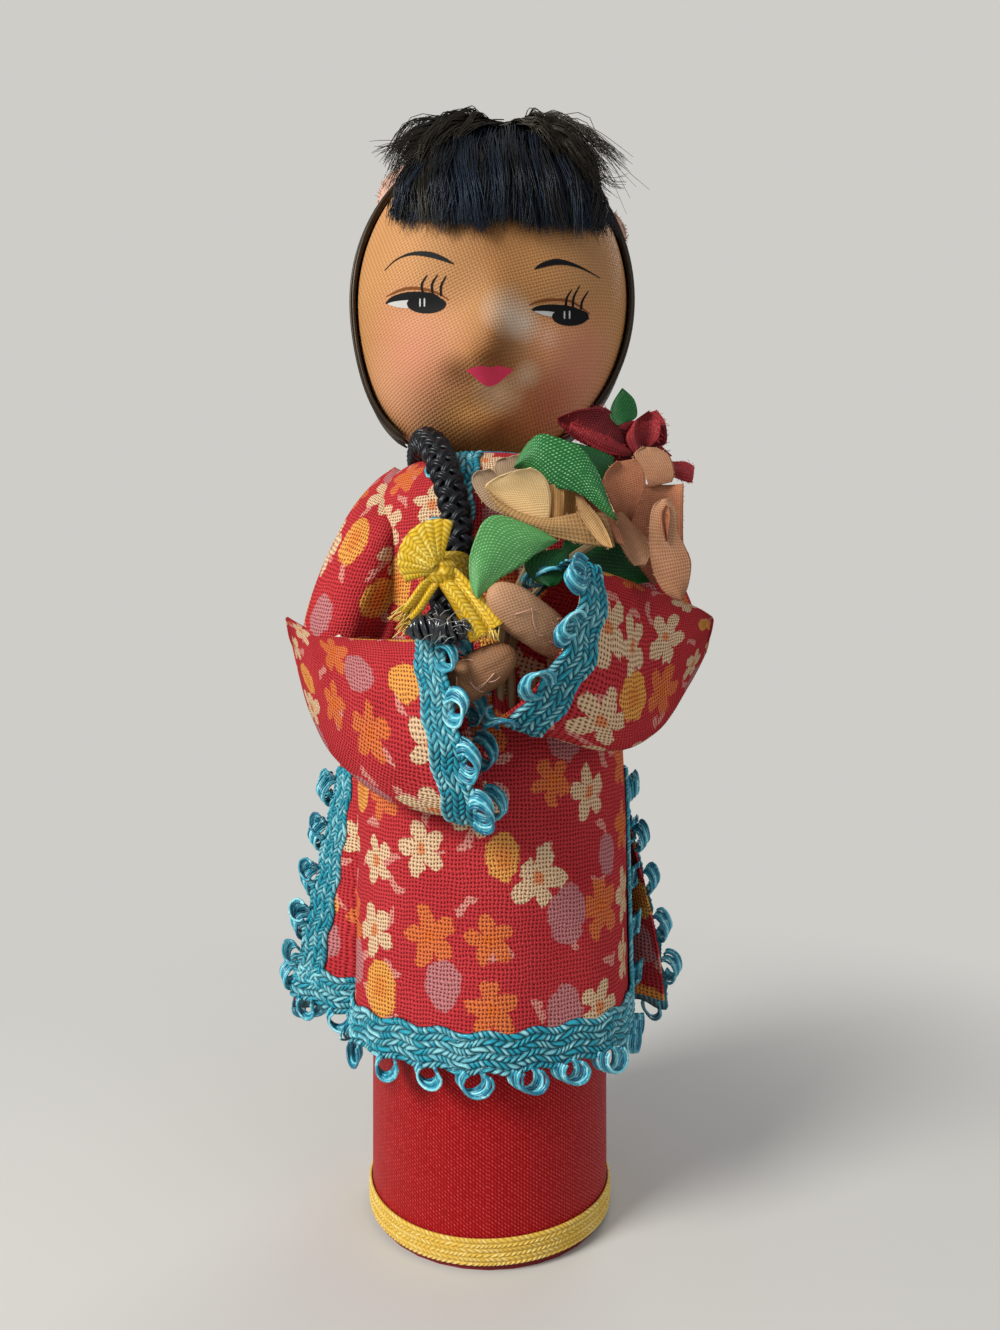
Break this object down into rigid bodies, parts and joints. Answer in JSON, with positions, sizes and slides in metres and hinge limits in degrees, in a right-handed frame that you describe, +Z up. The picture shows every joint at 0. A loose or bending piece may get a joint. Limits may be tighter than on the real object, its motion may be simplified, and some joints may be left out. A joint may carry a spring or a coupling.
{
  "type": "peg doll",
  "caption": "Standing peg doll with a turning silk-faced head, a swinging plait, a printed tunic with picot braid and a cloth bouquet held in front.",
  "frame": {"origin": "centre of the base disc's underside, where the doll stands", "axes": "+Z up through the head, -Y out of the face, +X to the viewer's right seen from the front"},
  "size_m": [0.0571, 0.0537, 0.1479],
  "materials": {
    "peg_wood": "plain turned softwood",
    "base_felt": "thin pressed felt",
    "satin_red": "glossy woven satin",
    "ribbon_yellow": "ribbed satin ribbon",
    "silk_face": "painted plain-weave silk",
    "stuffing": "packed cotton",
    "hair_black": "combed fibre",
    "cotton_print": "open plain-weave cotton with a printed floral",
    "braid_blue": "glossy rayon flat braid with picot loops",
    "silk_hand": "plain-weave silk over stuffing",
    "bow_yellow": "soft yarn ribbon",
    "petal_peach": "stiffened cloth",
    "petal_crimson": "stiffened cloth",
    "leaf_green": "glossy stiffened cloth",
    "stem_wire": "paper-wound wire"
  },
  "bodies": {
    "torso": {"base_disc": "base_felt", "wooden_peg": "peg_wood", "satin_wrap": "satin_red", "base_ribbon": "ribbon_yellow", "neck_dowel": "peg_wood", "collar_band": "braid_blue", "tunic_front": "cotton_print", "tunic_back": "cotton_print", "hem_trim_front": "braid_blue", "hem_trim_back": "braid_blue", "slit_trim_front_left": "braid_blue", "slit_trim_front_right": "braid_blue", "slit_trim_back_right": "braid_blue", "slit_trim_back_left": "braid_blue", "plait_root": "hair_black", "sleeve_left": "cotton_print", "sleeve_right": "cotton_print", "cuff_trim_left": "braid_blue", "cuff_trim_right": "braid_blue", "arm_left": "stuffing", "arm_right": "stuffing", "hand_right": "silk_hand", "hand_left": "silk_hand", "peach_flower_left_stem": "stem_wire", "peach_flower_right_stem": "stem_wire", "crimson_flower_stem": "stem_wire", "peach_flower_left_outer_petals": "petal_peach", "peach_flower_left_inner_petals": "petal_peach", "peach_flower_left_heart": "petal_peach", "peach_flower_right_outer_petals": "petal_peach", "peach_flower_right_inner_petals": "petal_peach", "peach_flower_right_heart": "petal_peach", "crimson_flower_outer_petals": "petal_crimson", "crimson_flower_inner_petals": "petal_crimson", "crimson_flower_heart": "petal_crimson", "leaf_top": "leaf_green", "leaf_low": "leaf_green", "leaf_back": "leaf_green", "leaf_under": "leaf_green", "neckline_trim": "braid_blue"},
    "head": {"head_core": "stuffing", "face_mask": "silk_face", "hair_cap": "hair_black", "side_strand_left": "hair_black", "side_strand_right": "hair_black", "fringe": "hair_black", "crown_tuft_left": "hair_black", "crown_tuft_right": "hair_black"},
    "plait": {"plait_tail": "hair_black", "plait_binding": "hair_black", "bow_band": "bow_yellow", "bow_knot": "bow_yellow", "bow_loop": "bow_yellow", "bow_tail_left": "bow_yellow", "bow_tail_right": "bow_yellow"}
  },
  "joints": [
    {"name": "head_turn", "type": "hinge", "parent": "torso", "child": "head", "pos_m": [0, 0, 0.1021], "axis": [0, 0, 1], "range_deg": [-20, 20]},
    {"name": "plait_swing", "type": "hinge", "parent": "torso", "child": "plait", "pos_m": [-0.00915, -0.01501, 0.10269], "axis": [-1, 0, 0], "range_deg": [0, 45]}
  ]
}
